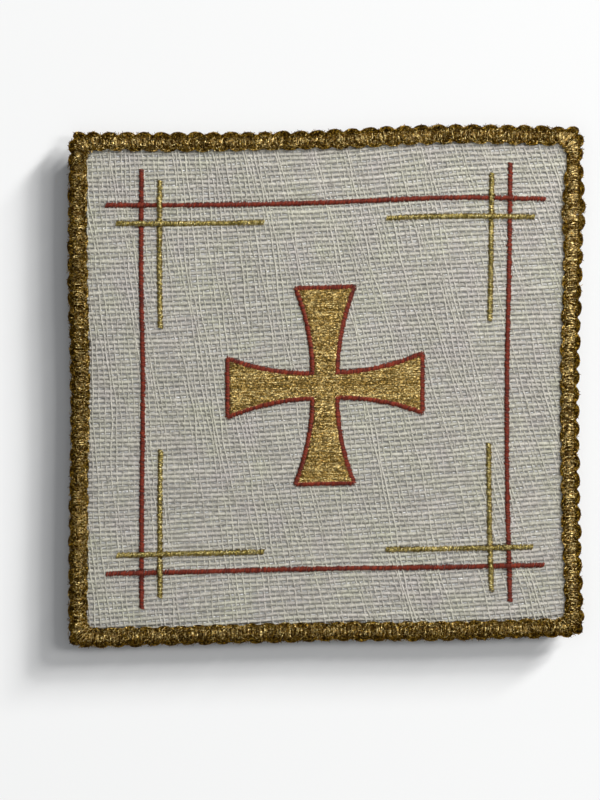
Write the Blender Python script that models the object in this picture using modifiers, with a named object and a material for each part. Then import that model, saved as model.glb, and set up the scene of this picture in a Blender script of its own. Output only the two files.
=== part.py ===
"""Chalice pall: a stiff square of open-weave cloth with a scalloped gold braid sewn round its edge,
embroidered with a plain cross in a frame of crossing lines.

The pall lies flat, face up. +Z is up, +Y is the top of its face and the origin is under its centre.
Every piece is first placed on a true square, and lay() then moves it to the uneven outline.
"""

import math
from collections import namedtuple

import bmesh
import bpy
import numpy as np

MM = 0.001
SEWN_GAP = 0.3 * MM  # between pieces that are sewn together

# The cloth-covered panel
PANEL_SIDE = 160.0 * MM
PANEL_THICKNESS = 3.6 * MM
PANEL_CROWN = 0.3 * MM
SWELL_FADE = 6.0  # how steeply the swells fade out towards the edges
PANEL_CORNER_RADIUS = 4.5 * MM
PANEL_EDGE_ROUND = 1.2 * MM
CORNER_CELLS = 3
FIELD_CELLS = 14

# The braid: a raised band with a row of small lobes along both sides
BRAID_LINE = 0.4 * MM  # its middle runs this far outside the panel's edge
BRAID_BAND = 3.8 * MM
BRAID_THICKNESS = 1.4 * MM
BRAID_OUTER_REACH = 3.7 * MM  # from its middle to the tip of an outer lobe
BRAID_INNER_REACH = 3.1 * MM
BRAID_VALLEY = 0.62  # reach between two lobes, as a share of the reach at a tip
LOBE_ROUNDNESS = 0.6  # power of the sine that draws a lobe: below 1 the tips are round, the valleys narrow
BRAID_LOBES = 119
BRAID_DROOP = 0.9 * MM
CORNER_RUN = 16.5 * MM  # length along the lobe tips that each corner takes up
CORNER_SQUARENESS = 5.0  # 2 would be a round outer corner
BRAID_JOIN_Y = 55.0 * MM  # where its two ends meet, on the right-hand edge
LOBE_STATIONS = (0.0, 0.2, 0.5, 0.8)  # shares of a lobe's pitch where a section is taken
INNER_STAGGER = 0.4  # inner lobes lag the outer ones by this share of a pitch
LOBE_UNEVENNESS = 0.05
LOBE_SEED = 7

# The braid's section, from the inner lobes over the band to the outer lobes. Across is a share of that
# row's reach or of half the band, and height is a share of the thickness
SectionPoint = namedtuple("SectionPoint", "measure across height")
BRAID_SECTION = (
    SectionPoint("inner", -1.0, 0.0),
    SectionPoint("inner", -1.0, 0.35),
    SectionPoint("band", -0.85, 0.55),
    SectionPoint("band", -0.4, 1.0),
    SectionPoint("band", 0.4, 1.0),
    SectionPoint("band", 0.85, 0.55),
    SectionPoint("outer", 1.0, 0.35),
    SectionPoint("outer", 1.0, 0.0),
)

# The embroidery
LINE_WIDTH = 1.5 * MM
LINE_CREST = 0.8 * MM
LINE_HEIGHT = 0.55 * MM
LINE_STEP = 12.0 * MM
HUMP_REACH = 2.6 * MM  # from a crossing to where the upper line is down on the cloth again
RED_FROM_CENTRE = 60.0 * MM
RED_HALF_LENGTH = 71.5 * MM
GOLD_FROM_CENTRE = 54.0 * MM
GOLD_OUTER_END = 68.0 * MM
GOLD_INNER_END = 20.0 * MM
CROSS_REACH = 32.0 * MM
CROSS_WAIST = 4.0 * MM  # half the width of an arm where it leaves the middle
CROSS_FLARE = 9.5 * MM  # half its width at the end
CROSS_ARM_STEPS = 5
CROSS_FILL_HEIGHT = 0.45 * MM

# How far each edge stands outside the true square, from its left or lower end
EdgeBow = namedtuple("EdgeBow", "edge start quarter middle three_quarter end")
EDGE_BOWS = (
    EdgeBow("top", -0.8 * MM, -1.0 * MM, -0.2 * MM, 1.6 * MM, 0.9 * MM),
    EdgeBow("bottom", 1.8 * MM, 0.8 * MM, -0.2 * MM, -0.5 * MM, -1.6 * MM),
    EdgeBow("left", 0.4 * MM, 0.2 * MM, -0.3 * MM, 0.5 * MM, 0.4 * MM),
    EdgeBow("right", 0.5 * MM, -0.7 * MM, -1.0 * MM, 0.0 * MM, 0.5 * MM),
)

# Soft hollows and swells of the cloth face: centre, reach along and across, turn, and rise
Swell = namedtuple("Swell", "x y along across turn rise")
SWELLS = (
    Swell(60 * MM, 60 * MM, 24 * MM, 10 * MM, math.radians(-8), -0.35 * MM),
    Swell(38 * MM, 30 * MM, 30 * MM, 20 * MM, math.radians(35), 0.18 * MM),
    Swell(-45 * MM, -42 * MM, 28 * MM, 14 * MM, math.radians(10), -0.22 * MM),
    Swell(5 * MM, -57 * MM, 34 * MM, 10 * MM, math.radians(4), -0.15 * MM),
    Swell(-20 * MM, 63 * MM, 36 * MM, 9 * MM, math.radians(-3), 0.14 * MM),
    Swell(-66 * MM, 8 * MM, 30 * MM, 9 * MM, math.radians(88), 0.16 * MM),
)

# Places where the braid is wider or narrower than usual: the edge it is on, its place and reach there
WidthChange = namedtuple("WidthChange", "edge place reach share")
WIDTH_CHANGES = (
    WidthChange("right", BRAID_JOIN_Y, 7.0 * MM, 0.22),
    WidthChange("right", 72.0 * MM, 2.6 * MM, -0.28),
    WidthChange("bottom", -70.0 * MM, 6.0 * MM, 0.08),
    WidthChange("left", 20.0 * MM, 30.0 * MM, 0.05),
)

Finish = namedtuple("Finish", "name colour roughness metallic")
CREAM_CLOTH = Finish("cream open-weave cloth", (0.62, 0.58, 0.50), 0.9, 0.0)
GOLD_BRAID = Finish("gold metallic braid", (0.42, 0.28, 0.07), 0.42, 0.85)
RED_THREAD = Finish("red embroidery thread", (0.38, 0.035, 0.02), 0.5, 0.0)
GOLD_THREAD = Finish("gold embroidery thread", (0.50, 0.38, 0.12), 0.4, 0.6)

HALF_SIDE = PANEL_SIDE / 2
STRAIGHT = PANEL_SIDE - 2 * PANEL_CORNER_RADIUS
BRAID_LENGTH = 4 * (STRAIGHT + CORNER_RUN)


def clear_scene():
    for obj in list(bpy.data.objects):
        bpy.data.objects.remove(obj, do_unlink=True)


def collection(name):
    made = bpy.data.collections.new(name)
    bpy.context.scene.collection.children.link(made)
    return made


def material(finish):
    """The finish's material, made the first time that it is asked for."""
    made = bpy.data.materials.get(finish.name)
    if made is None:
        made = bpy.data.materials.new(finish.name)
        made.use_nodes = True
        shader = made.node_tree.nodes["Principled BSDF"]
        shader.inputs["Base Color"].default_value = (*finish.colour, 1.0)
        shader.inputs["Roughness"].default_value = finish.roughness
        shader.inputs["Metallic"].default_value = finish.metallic
    return made


def add_mesh_object(name, bm, finish, home):
    bmesh.ops.recalc_face_normals(bm, faces=bm.faces[:])
    mesh = bpy.data.meshes.new(name)
    bm.to_mesh(mesh)
    bm.free()
    mesh.materials.append(material(finish))
    obj = bpy.data.objects.new(name, mesh)
    home.objects.link(obj)
    return obj


def bow(edge, place):
    """The edge's bow at place, from -1 to 1 along it: a Catmull-Rom curve through its five values."""
    values = next(row for row in EDGE_BOWS if row.edge == edge)[1:]
    span = (min(max(place, -1.0), 1.0) + 1.0) / 2.0 * (len(values) - 1)
    i = min(int(span), len(values) - 2)
    f = span - i
    before = values[max(i - 1, 0)]
    here, there = values[i], values[i + 1]
    after = values[min(i + 2, len(values) - 1)]
    return 0.5 * (
        2 * here
        + (there - before) * f
        + (2 * before - 5 * here + 4 * there - after) * f**2
        + (3 * here - before - 3 * there + after) * f**3
    )


def lay(x, y):
    """Moves a point of the true square to the uneven pall. An edge's bow fades out at the far edge."""
    u, v = x / HALF_SIDE, y / HALF_SIDE
    shift_x = ((1 + u) * bow("right", v) - (1 - u) * bow("left", v)) / 2
    shift_y = ((1 + v) * bow("top", u) - (1 - v) * bow("bottom", u)) / 2
    return x + shift_x, y + shift_y


def face_height(x, y):
    """Height of the cloth face over a point of the true square: a low crown with soft swells."""
    u = min(abs(x) / HALF_SIDE, 1.0)
    v = min(abs(y) / HALF_SIDE, 1.0)
    inside = (1 - u**2) * (1 - v**2)
    height = PANEL_THICKNESS + PANEL_CROWN * inside
    for swell in SWELLS:
        east, north = x - swell.x, y - swell.y
        along = east * math.cos(swell.turn) + north * math.sin(swell.turn)
        across = north * math.cos(swell.turn) - east * math.sin(swell.turn)
        fade = math.exp(-((along / swell.along) ** 2) - (across / swell.across) ** 2)
        height += swell.rise * fade * min(1.0, SWELL_FADE * inside)
    return height


def round_corner(x, y):
    """Pulls a point of a square corner cell onto the quarter disc that rounds that corner."""
    start = HALF_SIDE - PANEL_CORNER_RADIUS
    a, b = abs(x) - start, abs(y) - start
    if a <= 0 or b <= 0:
        return x, y
    pull = max(a, b) / math.hypot(a, b)
    return math.copysign(start + a * pull, x), math.copysign(start + b * pull, y)


def grid_lines():
    """Places of the panel's grid lines: close together at the rounded corners, wider in the field."""
    start = HALF_SIDE - PANEL_CORNER_RADIUS
    corner = np.linspace(start, HALF_SIDE, CORNER_CELLS + 1)
    field = np.linspace(-start, start, FIELD_CELLS + 1)
    return np.concatenate([-corner[:0:-1], field, corner[1:]])


def build_panel(home):
    """The panel: a grid drawn up into a slab, its underside flat and its face following face_height()."""
    lines = grid_lines()
    cells = len(lines) - 1
    bm = bmesh.new()
    bmesh.ops.create_grid(bm, x_segments=cells, y_segments=cells, size=1.0)
    for vert in bm.verts:
        column = round((vert.co.x + 1) / 2 * cells)
        row = round((vert.co.y + 1) / 2 * cells)
        vert.co.x, vert.co.y = round_corner(lines[column], lines[row])
    raised = bmesh.ops.extrude_face_region(bm, geom=bm.faces[:])["geom"]
    face = {item for item in raised if isinstance(item, bmesh.types.BMVert)}
    underside = [f for f in bm.faces if not any(v in face for v in f.verts)]
    for vert in bm.verts:
        x, y = vert.co.x, vert.co.y
        height = face_height(x, y) if vert in face else 0.0
        vert.co = (*lay(x, y), height)
    bmesh.ops.dissolve_faces(bm, faces=underside)
    panel = add_mesh_object("pall_panel", bm, CREAM_CLOTH, home)
    rounding = panel.modifiers.new("rounded rim", "BEVEL")
    rounding.width = PANEL_EDGE_ROUND
    rounding.segments = 3
    rounding.limit_method = "ANGLE"
    rounding.angle_limit = math.radians(50)
    panel.data.shade_smooth()
    return panel


def edge_point(run, out):
    """A point beside the panel's edge, on the true square, and the edge that it is on.

    run is the way along the lobe tips from the right-hand edge's lower end, and turns left at each corner.
    out is the distance outside the panel's edge. Further out, a corner is less round: its radius is divided
    by (cos**n + sin**n)**(1/n), where n grows from 2 at the panel's edge.
    """
    side, rest = divmod(run % BRAID_LENGTH, STRAIGHT + CORNER_RUN)
    start = HALF_SIDE - PANEL_CORNER_RADIUS
    if rest <= STRAIGHT:
        x, y = HALF_SIDE + out, rest - start
    else:
        turn = (rest - STRAIGHT) / CORNER_RUN * math.pi / 2
        n = 2 + (CORNER_SQUARENESS - 2) * max(out, 0.0) / BRAID_OUTER_REACH
        radius = (PANEL_CORNER_RADIUS + out) / (math.cos(turn) ** n + math.sin(turn) ** n) ** (1 / n)
        x = start + radius * math.cos(turn)
        y = start + radius * math.sin(turn)
    for _ in range(int(side)):
        x, y = -y, x
    return x, y, ("right", "top", "left", "bottom")[int(side)]


def width_share(x, y, edge):
    """How wide the braid is at a point beside an edge, as a share of its usual width."""
    place = y if edge in ("left", "right") else x
    share = 1.0
    for change in WIDTH_CHANGES:
        if change.edge == edge:
            share += change.share * math.exp(-(((place - change.place) / change.reach) ** 2))
    return share


def lobe_reach(phase, tip):
    """Reach of a row of lobes at phase pitches along it: round tips with narrow valleys between them."""
    rise = abs(math.sin(math.pi * phase)) ** LOBE_ROUNDNESS
    return tip * (BRAID_VALLEY + (1 - BRAID_VALLEY) * rise)


def braid_section(run, phase, unevenness):
    """The braid's section at run: its points from the inner lobes over the band to the outer lobes."""
    middle_x, middle_y, edge = edge_point(run, BRAID_LINE)
    wide = width_share(middle_x, middle_y, edge)
    measures = {
        "outer": wide * unevenness * lobe_reach(phase, BRAID_OUTER_REACH),
        "inner": wide * unevenness * lobe_reach(phase + INNER_STAGGER, BRAID_INNER_REACH),
        "band": wide * BRAID_BAND / 2,
    }
    places = [(BRAID_LINE + row.across * measures[row.measure], row.height) for row in BRAID_SECTION]
    places.append((0.0, 0.0))  # the underside bends down from the panel's edge
    points = []
    for out, height in places:
        x, y, _ = edge_point(run, out)
        droop = BRAID_DROOP * (max(out, 0.0) / BRAID_OUTER_REACH) ** 2
        seat = face_height(x, y) + SEWN_GAP - droop
        points.append((*lay(x, y), seat + height * BRAID_THICKNESS))
    return points


def build_braid(home):
    """The braid: one length lofted round the panel, whose ends meet on the right-hand edge."""
    pitch = BRAID_LENGTH / BRAID_LOBES
    first = BRAID_JOIN_Y + HALF_SIDE - PANEL_CORNER_RADIUS
    chance = np.random.default_rng(LOBE_SEED)
    unevenness = chance.uniform(1 - LOBE_UNEVENNESS, 1 + LOBE_UNEVENNESS, BRAID_LOBES)
    phases = [lobe + station for lobe in range(BRAID_LOBES) for station in LOBE_STATIONS]
    phases.append(float(BRAID_LOBES))
    trim = SEWN_GAP / 2  # at each end, so that the ends stay a sewn gap apart
    bm = bmesh.new()
    rings = []
    for phase in phases:
        lobe = unevenness[min(int(phase), BRAID_LOBES - 1)]
        run = min(max(phase * pitch, trim), BRAID_LENGTH - trim)
        section = braid_section(first + run, phase, lobe)
        rings.append([bm.verts.new(point) for point in section])
    for here, there in zip(rings, rings[1:]):
        for i in range(len(here)):
            j = (i + 1) % len(here)
            bm.faces.new((here[i], here[j], there[j], there[i]))
    bm.faces.new(rings[0])
    bm.faces.new(rings[-1])
    return add_mesh_object("gold_braid", bm, GOLD_BRAID, home)


def sewn_profile(home):
    """The section of a satin-stitched line: flat below and narrower at its crest."""
    corners = (
        (-LINE_WIDTH / 2, 0.0),
        (-LINE_CREST / 2, LINE_HEIGHT),
        (LINE_CREST / 2, LINE_HEIGHT),
        (LINE_WIDTH / 2, 0.0),
    )
    curve = bpy.data.curves.new("line_profile", "CURVE")
    spline = curve.splines.new("POLY")
    spline.points.add(len(corners) - 1)
    for point, (x, y) in zip(spline.points, corners):
        point.co = (x, y, 0.0, 1.0)
    spline.use_cyclic_u = True
    guide = bpy.data.objects.new("line_profile", curve)
    guide.hide_render = True
    guide.display_type = "WIRE"
    home.objects.link(guide)
    return guide


def sweep(name, points, profile, finish, home, closed=False):
    """A solid of the line profile along points of the true square, each with its height on the face."""
    curve = bpy.data.curves.new(name, "CURVE")
    curve.dimensions = "3D"
    curve.twist_mode = "Z_UP"
    curve.bevel_mode = "OBJECT"
    curve.bevel_object = profile
    curve.use_fill_caps = True
    spline = curve.splines.new("POLY")
    spline.points.add(len(points) - 1)
    for point, (x, y, lift) in zip(spline.points, points):
        point.co = (*lay(x, y), face_height(x, y) + SEWN_GAP + lift, 1.0)
    spline.use_cyclic_u = closed
    curve.materials.append(material(finish))
    obj = bpy.data.objects.new(name, curve)
    home.objects.link(obj)
    return obj


# A straight embroidered line: level is its fixed coordinate, and it runs from start to end along the other
SewnLine = namedtuple("SewnLine", "name finish direction level start end")


def sewn_lines():
    """All straight lines in the order in which they are sewn: red ones first, upright before level."""
    lines = []
    red_ends = (-RED_HALF_LENGTH, RED_HALF_LENGTH)
    for side, direction, sign in (
        ("left", "y", -1),
        ("right", "y", 1),
        ("bottom", "x", -1),
        ("top", "x", 1),
    ):
        level = sign * RED_FROM_CENTRE
        lines.append(SewnLine(f"red_line_{side}", RED_THREAD, direction, level, *red_ends))
    for direction, word in (("y", "upright"), ("x", "level")):
        for corner, east, north in (
            ("lower_left", -1, -1),
            ("lower_right", 1, -1),
            ("upper_left", -1, 1),
            ("upper_right", 1, 1),
        ):
            across, along = (east, north) if direction == "y" else (north, east)
            ends = sorted((along * GOLD_INNER_END, along * GOLD_OUTER_END))
            name = f"gold_line_{corner}_{word}"
            lines.append(SewnLine(name, GOLD_THREAD, direction, across * GOLD_FROM_CENTRE, *ends))
    return lines


def crossings(line, earlier):
    """Places along the line where it crosses a line that was sewn before it."""
    return [
        other.level
        for other in earlier
        if other.direction != line.direction
        and line.start < other.level < line.end
        and other.start < line.level < other.end
    ]


def build_line(line, earlier, profile, home):
    """A straight line of satin stitch, which humps over each line that it crosses."""
    humps = crossings(line, earlier)
    steps = max(2, round((line.end - line.start) / LINE_STEP))
    even = np.linspace(line.start, line.end, steps + 1)
    spacing = 1.5 * HUMP_REACH
    clear = [place for place in even if all(abs(place - hump) > spacing for hump in humps)]
    places = {place: 0.0 for place in clear}
    for hump in humps:
        places[hump - HUMP_REACH] = 0.0
        places[hump - LINE_WIDTH / 2] = LINE_HEIGHT + SEWN_GAP
        places[hump + LINE_WIDTH / 2] = LINE_HEIGHT + SEWN_GAP
        places[hump + HUMP_REACH] = 0.0
    points = []
    for place, lift in sorted(places.items()):
        x, y = (place, line.level) if line.direction == "x" else (line.level, place)
        points.append((x, y, lift))
    return sweep(line.name, points, profile, line.finish, home)


def cross_corners():
    """Corner points of a cross with four flared arms, counter-clockwise.

    Half an arm's width grows from its waist to its flared end as waist + (flare - waist) * t**2.
    """
    shares = np.linspace(0.0, 1.0, CROSS_ARM_STEPS + 1)
    length, growth = CROSS_REACH - CROSS_WAIST, CROSS_FLARE - CROSS_WAIST
    side = [(CROSS_WAIST + length * t, CROSS_WAIST + growth * t**2) for t in shares]
    arm = [(x, -y) for x, y in side[1:]] + side[:0:-1] + side[:1]
    points = []
    for _ in range(4):
        points += arm
        arm = [(-y, x) for x, y in arm]
    return points


def drawn_in(points, inset):
    """A counter-clockwise outline moved inward by inset, its corners kept sharp."""
    corners = np.array(points)
    ahead = np.roll(corners, -1, axis=0) - corners
    ahead /= np.linalg.norm(ahead, axis=1, keepdims=True)
    inward = np.column_stack([-ahead[:, 1], ahead[:, 0]])
    before = np.roll(inward, 1, axis=0)
    mitre = (inward + before) / (1 + np.sum(inward * before, axis=1, keepdims=True))
    return [(float(x), float(y)) for x, y in corners + inset * mitre]


def build_cross(profile, home):
    """The cross: a gold filling and the red outline sewn round it."""
    corners = cross_corners()
    outline = [(x, y, 0.0) for x, y in corners]
    sweep("cross_outline", outline, profile, RED_THREAD, home, closed=True)
    inset = LINE_WIDTH / 2 + SEWN_GAP
    bm = bmesh.new()
    rim = [bm.verts.new((x, y, 0.0)) for x, y in drawn_in(corners, inset)]
    bm.faces.new(rim)
    bm.normal_update()
    bmesh.ops.triangulate(bm, faces=bm.faces[:])
    raised = bmesh.ops.extrude_face_region(bm, geom=bm.faces[:])["geom"]
    top = {item for item in raised if isinstance(item, bmesh.types.BMVert)}
    for vert in bm.verts:
        x, y = vert.co.x, vert.co.y
        lift = CROSS_FILL_HEIGHT if vert in top else 0.0
        vert.co = (*lay(x, y), face_height(x, y) + SEWN_GAP + lift)
    add_mesh_object("cross_fill", bm, GOLD_THREAD, home)


def build_pall():
    clear_scene()
    home = collection("chalice_pall")
    guides = collection("guides")
    build_panel(home)
    build_braid(home)
    profile = sewn_profile(guides)
    build_cross(profile, home)
    lines = sewn_lines()
    for count, line in enumerate(lines):
        build_line(line, lines[:count], profile, home)


build_pall()
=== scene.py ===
"""Chalice pall: its cloth, braid and embroidery, thread by thread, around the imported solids.

Lengths are in millimetres until a mesh is made. Every thread is first placed on a true square and flat
cloth; drape() and lay() then take it to the panel's uneven outline, over its rim and down its sides.
"""

from collections import namedtuple

import bpy
import numpy as np
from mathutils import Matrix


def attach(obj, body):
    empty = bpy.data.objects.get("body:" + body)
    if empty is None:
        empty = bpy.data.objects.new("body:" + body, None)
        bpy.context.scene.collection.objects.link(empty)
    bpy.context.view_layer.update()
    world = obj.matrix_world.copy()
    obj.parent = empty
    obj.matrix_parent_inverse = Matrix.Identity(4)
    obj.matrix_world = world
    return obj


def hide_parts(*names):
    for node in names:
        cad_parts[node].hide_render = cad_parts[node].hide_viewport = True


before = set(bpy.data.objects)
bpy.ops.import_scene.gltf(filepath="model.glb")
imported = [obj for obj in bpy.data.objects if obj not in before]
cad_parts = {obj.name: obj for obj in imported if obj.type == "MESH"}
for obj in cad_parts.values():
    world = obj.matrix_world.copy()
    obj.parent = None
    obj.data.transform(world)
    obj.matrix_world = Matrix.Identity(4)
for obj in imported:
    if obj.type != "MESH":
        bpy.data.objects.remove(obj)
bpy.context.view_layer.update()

METRE = 1000.0  # in millimetres
SIDES = 4  # of every thread
ROUND = np.arange(SIDES) * 2 * np.pi / SIDES

# The panel, as in its solid
HALF_SIDE = 80.0
THICKNESS = 3.6
CROWN = 0.3
SWELL_FADE = 6.0
CORNER = 4.5
RIM = 1.2
FOOT = 0.8
SEWN_GAP = 0.3
CORNER_START = HALF_SIDE - CORNER
RIM_START = CORNER - RIM
WALL = THICKNESS - RIM - FOOT
RIM_LENGTH = RIM * np.pi / 2
FOOT_LENGTH = FOOT * np.pi / 2
FOLD_LENGTH = RIM_START + RIM_LENGTH + WALL + FOOT_LENGTH
FACE_CELLS = 40  # of the panel cloth's grid, across its flat face

# How far each edge stands outside the true square, from its left or lower end to its other end
EdgeBow = namedtuple("EdgeBow", "edge start quarter middle three_quarter end")
EDGE_BOWS = (
    EdgeBow("top", -0.8, -1.0, -0.2, 1.6, 0.9),
    EdgeBow("bottom", 1.8, 0.8, -0.2, -0.5, -1.6),
    EdgeBow("left", 0.4, 0.2, -0.3, 0.5, 0.4),
    EdgeBow("right", 0.5, -0.7, -1.0, 0.0, 0.5),
)

# Soft hollows and swells of the face: centre, reach along and across, turn in degrees, and rise
Swell = namedtuple("Swell", "x y along across turn rise")
SWELLS = (
    Swell(60, 60, 24, 10, -8, -0.35),
    Swell(38, 30, 30, 20, 35, 0.18),
    Swell(-45, -42, 28, 14, 10, -0.22),
    Swell(5, -57, 34, 10, 4, -0.15),
    Swell(-20, 63, 36, 9, -3, 0.14),
    Swell(-66, 8, 30, 9, 88, 0.16),
)

# The weave. Depths are below the panel's face
WEFT_PITCH = 1.64
WARP_PITCH = 1.55
WEFT_PITCH_SPREAD = 0.07
WARP_PITCH_SPREAD = 0.22
YARN_FIELD = 112.0  # yarns are set out this far each way, and those past the edge are left out
WEFT_RISE = 0.042  # to the right
WEFT_RISE_GROWTH = 0.0001
WARP_LEAN = 0.19  # to the left, going up
WARP_LEAN_GROWTH = 0.0014  # more for each millimetre to the right
WEAVE_DEPTH = 0.2  # of the yarns' middles
RIBBON_DEPTH = 0.33
GROUND_DEPTH = 0.34
YARN_END = RIM_START + RIM_LENGTH + 0.8 * WALL
SLUB_SHARE = 0.3  # of the warps
STRAY_FIBRES = 5000
WEAVE_SEED = 11
STEPS_BACK = 6
FIELD = np.linspace(-HALF_SIDE - 8, HALF_SIDE + 8, 1500)  # where the yarns' courses are worked out

# Soft patches where the warps lie deeper, and one more of them in the lower left
PATCH_SINK = 0.09
LOWER_LEFT_SINK = Swell(-45, -60, 45, 35, 0, 0.06)

# How a set of yarns wavers: each wave's size and length, and its shift for each millimetre to the next yarn
Wave = namedtuple("Wave", "size length shift")
WEFT_WAVES = (Wave(0.35, 23, 1 / 17), Wave(0.12, 7, 0.3), Wave(0.08, 2.6, 1))
WARP_WAVES = (Wave(0.9, 21, 1 / 13), Wave(0.35, 7.5, 0.5), Wave(0.14, 2.3, 2.1))

# The yarns: half width and height, the middle and swing of their lift, and the middle and drift of their tone
Yarn = namedtuple("Yarn", "half_width half_height lift swing tone drift")
THICK_WEFT = Yarn(0.63, 0.21, 0.0, 0.07, 0.7, 0.18)
THIN_WEFT = Yarn(0.57, 0.18, 0.0, 0.07, 0.56, 0.18)
WARP = Yarn(0.26, 0.13, 0.04, 0.09, 0.62, 0.18)
SLUB = Yarn(0.3, 0.15, 0.12, 0.06, 0.74, 0.16)

# The braid
BRAID_LINE = 0.4  # its middle line lies this far outside the panel's edge
BRAID_BAND = 3.8  # width of the raised band
BRAID_THICKNESS = 1.4
BAND_SIDE = 0.3  # height of the band's threads at its sides
OUTER_REACH = 3.7  # of the lobes, from the middle line
INNER_REACH = 3.1
VALLEY = 0.62  # reach between two lobes, as a share of theirs
LOBE_ROUNDNESS = 0.6
LOBES = 119
DROOP = 0.9
CORNER_RUN = 16.5  # length of the braid round one corner
CORNER_SQUARENESS = 5.0
JOIN_Y = 55.0
INNER_STAGGER = 0.4  # in lobes
LOBE_UNEVENNESS = 0.05
LOBE_SEED = 7
STRAIGHT = 2 * CORNER_START
BRAID_LENGTH = 4 * (STRAIGHT + CORNER_RUN)
LOBE_PITCH = BRAID_LENGTH / LOBES
JOIN_RUN = JOIN_Y + CORNER_START

# Places where the braid is wider or narrower than usual: its edge, the place and reach there
WidthChange = namedtuple("WidthChange", "edge place reach share")
WIDTH_CHANGES = (
    WidthChange("right", JOIN_Y, 7.0, 0.22),
    WidthChange("right", 72.0, 2.6, -0.28),
    WidthChange("bottom", -70.0, 6.0, 0.08),
    WidthChange("left", 20.0, 30.0, 0.05),
)
EDGES = ("right", "top", "left", "bottom")

# By edge, in the order of EDGES: how far the lobes' valleys are filled, the band's tone with painted light in
# it (lightest on the right, where the light falls, and darkest at the bottom) and its spread
VALLEY_FILL = np.array([0.25, 0.3, 0.7, 0.65])
BAND_PAINTED_LIGHT = np.array([1.06, 0.82, 0.79, 0.74])
BAND_SPREAD = np.array([0.15, 0.28, 0.27, 0.26])

BAND_BUNDLES = 515
THREADS_IN_BUNDLE = 3
THREAD_SPACING = 0.41  # within a bundle
LOOP_RADIUS = 0.17
LOOSE_ENDS = 12400
LOOSE_ENDS_AT_JOIN = 420

# The embroidery
LINE_WIDTH = 1.5
LINE_HEIGHT = 0.55
HUMP_REACH = 2.6
RED_FROM_CENTRE = 60.0
RED_HALF_LENGTH = 71.5
GOLD_FROM_CENTRE = 54.0
GOLD_OUTER_END = 68.0
GOLD_INNER_END = 20.0
CROSS_REACH = 32.0
CROSS_WAIST = 4.0
CROSS_FLARE = 9.5
STITCH_PITCH = 0.38
STITCH_RADIUS = 0.2
STITCH_SLANT = 0.22
OUTLINE_LIFT = 0.08
FILL_PITCH = 0.33
FILL_INSET = 0.45  # from the middle of the outline
FILL_STITCH = 3.2
FILL_STAGGER = 0.37  # of a stitch, from one row to the next
FILL_RADIUS = 0.24
STITCH_SEED = 5


def bow(edge, place):
    """An edge's bow at places from -1 to 1 along it: a smooth cubic curve through its five values."""
    values = np.array(next(row for row in EDGE_BOWS if row.edge == edge)[1:])
    span = (np.clip(place, -1, 1) + 1) / 2 * (len(values) - 1)
    i = np.minimum(span.astype(int), len(values) - 2)
    f = span - i
    before, here = values[np.maximum(i - 1, 0)], values[i]
    there, after = values[i + 1], values[np.minimum(i + 2, len(values) - 1)]
    return 0.5 * (
        2 * here
        + (there - before) * f
        + (2 * before - 5 * here + 4 * there - after) * f**2
        + (3 * here - before - 3 * there + after) * f**3
    )


def lay(x, y, high):
    """Points of the true square on the uneven pall. An edge's bow fades out at the far edge."""
    u, v = x / HALF_SIDE, y / HALF_SIDE
    shift_x = ((1 + u) * bow("right", v) - (1 - u) * bow("left", v)) / 2
    shift_y = ((1 + v) * bow("top", u) - (1 - v) * bow("bottom", u)) / 2
    return np.stack([x + shift_x, y + shift_y, high], axis=-1)


def bell(swell, x, y):
    """A swell's share at each point: e^-(u^2 + v^2), u and v being the way along and across it."""
    turn = np.radians(swell.turn)
    east, north = x - swell.x, y - swell.y
    along = east * np.cos(turn) + north * np.sin(turn)
    across = north * np.cos(turn) - east * np.sin(turn)
    return np.exp(-((along / swell.along) ** 2) - (across / swell.across) ** 2)


def face_height(x, y):
    """Height of the panel's face: a low crown, (1 - u^2)(1 - v^2), with soft bell-shaped swells."""
    u = np.minimum(np.abs(x) / HALF_SIDE, 1)
    v = np.minimum(np.abs(y) / HALF_SIDE, 1)
    inside = (1 - u**2) * (1 - v**2)
    fade = np.minimum(1, SWELL_FADE * inside)
    return THICKNESS + CROWN * inside + fade * sum(swell.rise * bell(swell, x, y) for swell in SWELLS)


def past_corners(x, y):
    """How far points lie past the corners' centres along x and y, with the side's sign: 0 between them."""
    return [np.sign(place) * np.maximum(np.abs(place) - CORNER_START, 0) for place in (x, y)]


def drape(x, y, lift):
    """Lays points of the flat cloth over the panel, lift away from its surface.

    The way past a corner's centre is used up on the flat face, then the rim's quarter circle, the side and
    the foot's quarter circle. lift follows the surface's normal there.
    """
    a, b = past_corners(x, y)
    far = np.hypot(a, b)
    east, north = a / np.maximum(far, 1e-9), b / np.maximum(far, 1e-9)
    past = far - RIM_START
    rim_turn = np.clip(past / RIM, 0, np.pi / 2)
    down = np.clip(past - RIM_LENGTH, 0, WALL)
    foot_turn = np.clip((past - RIM_LENGTH - WALL) / FOOT, 0, np.pi / 2)
    lean = rim_turn + foot_turn
    curled = RIM_START + RIM * np.sin(rim_turn) - FOOT * (1 - np.cos(foot_turn))
    out = np.where(past < 0, far, curled)
    drop = RIM * (1 - np.cos(rim_turn)) + down + FOOT * np.sin(foot_turn)
    flat_x, flat_y = x - a + east * out, y - b + north * out
    high = face_height(flat_x, flat_y) - drop + lift * np.cos(lean)
    reach = lift * np.sin(lean)
    return lay(flat_x + east * reach, flat_y + north * reach, high)


def draws(seed):
    """A piece's own run of random draws."""
    return np.random.default_rng(seed)


def smooth_chance(chance, places, step):
    """A random curve from -1 to 1 over places: straight lines between new values at every step."""
    knots = np.arange(places.min() - step, places.max() + 2 * step, step)
    return np.interp(places, knots, chance.uniform(-1, 1, len(knots)))


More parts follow.
